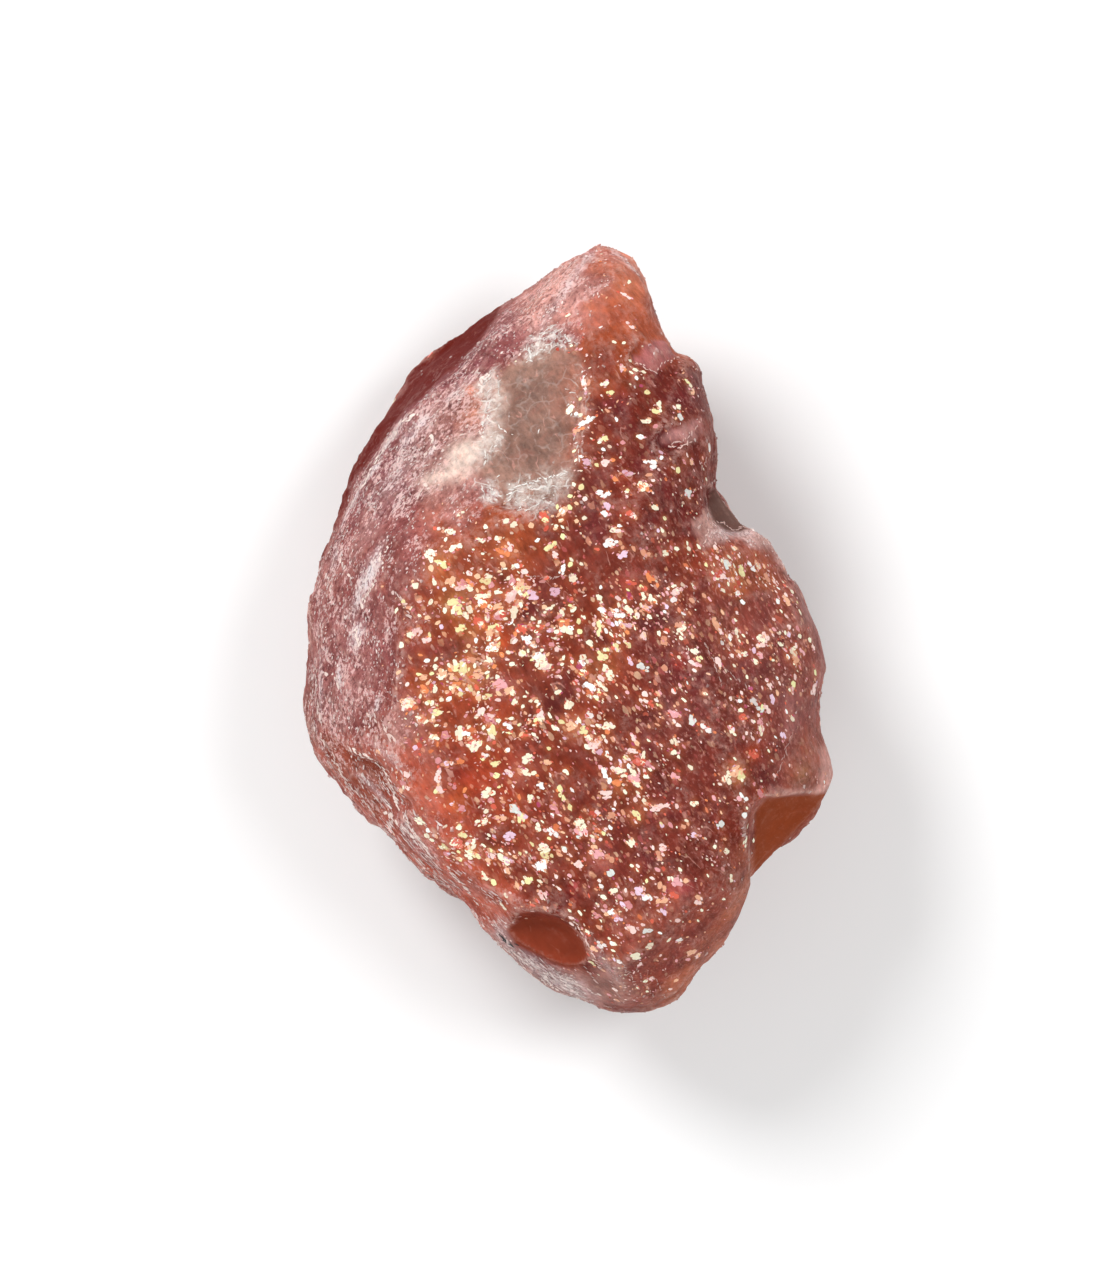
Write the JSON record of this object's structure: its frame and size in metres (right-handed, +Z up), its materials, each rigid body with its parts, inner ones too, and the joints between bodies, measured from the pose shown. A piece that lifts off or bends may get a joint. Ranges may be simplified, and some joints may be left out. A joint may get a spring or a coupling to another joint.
{
  "type": "sunstone",
  "caption": "Rough piece of red sunstone, a natural feldspar chunk with a flat glittering face, frosted slopes and chipped edges, lying on its flat back.",
  "frame": {"origin": "under the middle of the stone's bounding box, on the surface that it lies on", "axes": "+Z up, out of the glittering face; +Y towards the pointed end, along the length; +X to the right of the face"},
  "size_m": [0.0332, 0.048, 0.0206],
  "materials": {
    "red_feldspar": "natural, broken and unpolished: waxy red-brown with metallic spangles, frosted slopes"
  },
  "bodies": {
    "root": {"sunstone": "red_feldspar"}
  },
  "joints": []
}
